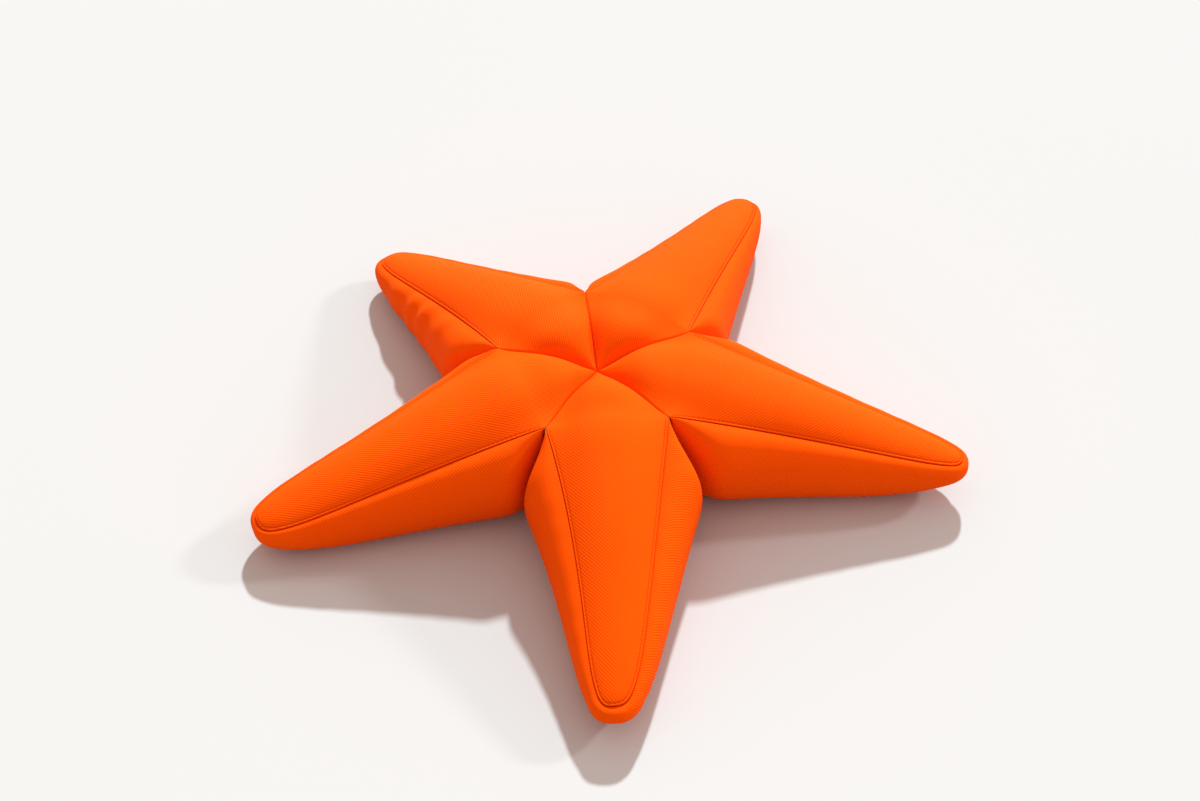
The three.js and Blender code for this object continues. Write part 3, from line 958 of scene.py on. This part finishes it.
band_weights = (
    spline_weights(net_turns, band_turns),
    spline_weights(path_place(net_path), path_place(border_path)),
)
for arm in ARMS:
    u, side = border_path
    grid = band_surface(arm, u, side, band_turns)
    grid = grid + carried(net_shifts[3 * (arm.number - 1) + 1], *band_weights)
    normals = grid_normals(grid, True)
    top_directions = seam_directions(arm, border_path, TOP_SEAM_RISE)
    base_directions = seam_directions(arm, border_path, BASE_SEAM_RISE)
    down = lengths_along(grid)
    up = down[-1] - down
    length = lengths_along(grid[len(band_turns) // 2])
    leaf_sinks = seam_sinks[arm.number - 1]
    edge_sink = np.concatenate([leaf_sinks[:-1, 0], leaf_sinks[-1, 1:-1], leaf_sinks[-2::-1, -1]])
    fall = (1 - CREASE_DEPTH / edge_sink) * np.exp(-down / BAND_SINK_REACH)
    fall += CREASE_DEPTH / edge_sink * hump(down, 0, CREASE_WIDTH)
    sink = edge_sink * fall
    base_sink = SEAM_SINK * np.exp(-up / SINK_REACH) + CREASE_DEPTH * hump(up, 0, CREASE_WIDTH)
    x, _, _ = leaf_plan(arm, u, side)
    reached = x / PLAIN_REACH
    deep = smooth(reached, *DEEP_FROM) * smooth(reached, *DEEP_TO)
    deep = deep * (arm.number == PUCKERED_ARM) * (side > 0)
    height = PUCKER_HEIGHT + (DEEP_PUCKER_HEIGHT - PUCKER_HEIGHT) * deep
    uneven = UNEVENNESS * np.sin(length / UNEVEN_LENGTH)
    ripple = np.sin(2 * np.pi * (length / PUCKER_LENGTH + uneven))
    reach = down / lerp(PUCKER_REACH, DEEP_PUCKER_REACH, deep)
    pucker = height * ripple * reach * np.exp(1 - reach)
    pucker = pucker * smooth(up, 0, PUCKER_BASE_CLEARANCE)
    pucker = pucker * smooth(x - CROTCH_X, 0, PUCKER_CROTCH_CLEARANCE)
    near = np.where((down < up)[..., None], top_directions, base_directions)
    own = smooth(np.minimum(down, up), 0, DIRECTION_REACH)[..., None]
    directions = unit(lerp(near, normals, own))
    grid = grid + directions * (pucker - sink - base_sink)[..., None]
    grid = on_own_side(arm, grid)
    # Painted shade in the creases at the top seam and at the base seam.
    painted_light = -0.8 * hump(down, 0, 0.9 * CREASE_WIDTH) - 0.7 * hump(up, 0, CREASE_WIDTH)
    uv = cloth_map(np.broadcast_to(length, down.shape), down, BAND_RIB_ANGLE)
    points = grid.reshape(-1, 3)
    faces = grid_faces(grid.shape[:2], True)
    band = piece(f"side_band_cover_{arm.number}", points, faces, twill, uv, painted_light.ravel())
    finished(band, f"side_band_{arm.number}")

# Base ----------------------------------------------------------------------------------------
# One star of the same twill, flat on the floor, with its edge sewn to the five bands.

BASE_RIB_ANGLE = 45
base_rows = np.concatenate([np.linspace(-1, 0, 22)[:-1], 1 - spaced(90, 226, 40)[::-1]])
half_base = spaced(16, 52, 12) - 1
base_columns = np.concatenate([half_base, -half_base[-2::-1]])
base_path = outline(base_rows[base_rows >= 0], base_columns)
base_grids = []
for arm in ARMS:
    grid = base_surface(arm, base_rows[:, None], base_columns)
    edge = base_surface(arm, *base_path)
    to_edge, place = nearest_on(grid, edge)
    sink = SEAM_SINK * np.exp(-to_edge / SINK_REACH) + CREASE_DEPTH * hump(to_edge, 0, CREASE_WIDTH)
    directions = at_place(seam_directions(arm, base_path, BASE_SEAM_RISE), place)
    share = 1 - smooth(to_edge, 0, DIRECTION_REACH)
    grid = grid - directions * (sink * share)[..., None]
    grid[..., 2] = np.maximum(grid[..., 2], 0)
    base_grids.append((corners_drawn_in(grid), False))
points, faces, _ = welded(*joined(base_grids))
uv = cloth_map(points[:, 0], points[:, 1], BASE_RIB_ANGLE)
base = piece("base_panel_cover", points, faces, twill, uv, np.zeros(len(points)))
finished(base, "base_panel")

# Floor, lights and camera --------------------------------------------------------------------
# A pale studio floor. One high light stands behind the cushion and throws soft-edged shadows
# towards the viewer. A weak one on the right and an even, slightly warm surround fill them.

FLOOR_SIZE = 12.0
FLOOR_DROP = 0.3 * MM
KEY_HEIGHT = 37  # degrees above the floor
KEY_BEARING = 73  # degrees from +X towards +Y, where the light comes from
KEY_STRENGTH = 4.9
KEY_SPREAD = 3.0  # degrees
KEY_COLOUR = (0.87, 1.0, 1.03)
SIDE_HEIGHT = 27
SIDE_BEARING = 14
SIDE_STRENGTH = 1.1
SIDE_SPREAD = 6
SIDE_COLOUR = (1.0, 1.0, 1.0)
SURROUND = (0.82, 0.66, 0.59, 1)
VIEW_DISTANCE = 2.007
VIEW_DIP = 46.2  # degrees that the camera looks down
VIEW_PAN = 6.9  # degrees from +Y towards +X
VIEW_POINT = (0.0078, 0.043, 0.0)
LENS = 68.0

floor_shader = Shader("pale_floor")
floor_place = floor_shader.node("ShaderNodeTexCoord", output=3)
floor_tone = floor_shader.noise(floor_place, 0.8, 2.0)
floor_colour = floor_shader.mix(floor_tone, (0.51, 0.51, 0.51, 1), (0.525, 0.525, 0.525, 1))
floor_material = floor_shader.surface(
    Base_Color=floor_colour, Roughness=0.85, Specular_IOR_Level=0.2
)
half = FLOOR_SIZE / 2
corners = np.array([[-half, -half], [half, -half], [half, half], [-half, half]])
corners = np.concatenate([corners, np.full((4, 1), -FLOOR_DROP)], 1)
floor = piece("floor", corners, np.array([[0, 1, 2, 3]]), floor_material)
floor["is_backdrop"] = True


def add_sun(name, height, bearing, strength, spread, colour):
    """A far light at that height above the floor, coming from that bearing."""
    light = bpy.data.lights.new(name, "SUN")
    light.energy = strength
    light.angle = np.deg2rad(spread)
    light.color = colour
    made = bpy.data.objects.new(name, light)
    made.rotation_euler = (0, np.deg2rad(90 - height), np.deg2rad(bearing))
    bpy.context.scene.collection.objects.link(made)


add_sun("key_light", KEY_HEIGHT, KEY_BEARING, KEY_STRENGTH, KEY_SPREAD, KEY_COLOUR)
add_sun("side_light", SIDE_HEIGHT, SIDE_BEARING, SIDE_STRENGTH, SIDE_SPREAD, SIDE_COLOUR)

world = bpy.data.worlds.new("surround")
world.use_nodes = True
world.node_tree.nodes["Background"].inputs["Color"].default_value = SURROUND
bpy.context.scene.world = world

lens = bpy.data.cameras.new("viewer")
lens.lens = LENS
lens.sensor_width = 36
camera = bpy.data.objects.new("viewer", lens)
dip, pan = np.deg2rad(VIEW_DIP), np.deg2rad(VIEW_PAN)
forward = np.array([np.sin(pan) * np.cos(dip), np.cos(pan) * np.cos(dip), -np.sin(dip)])
camera.location = np.array(VIEW_POINT) - forward * VIEW_DISTANCE
camera.rotation_euler = (np.pi / 2 - dip, 0, -pan)
bpy.context.scene.collection.objects.link(camera)
bpy.context.scene.camera = camera
bpy.context.scene.view_settings.view_transform = "Standard"

sizes = {"cad": cad_box, "visual": [list(corner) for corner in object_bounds()]}
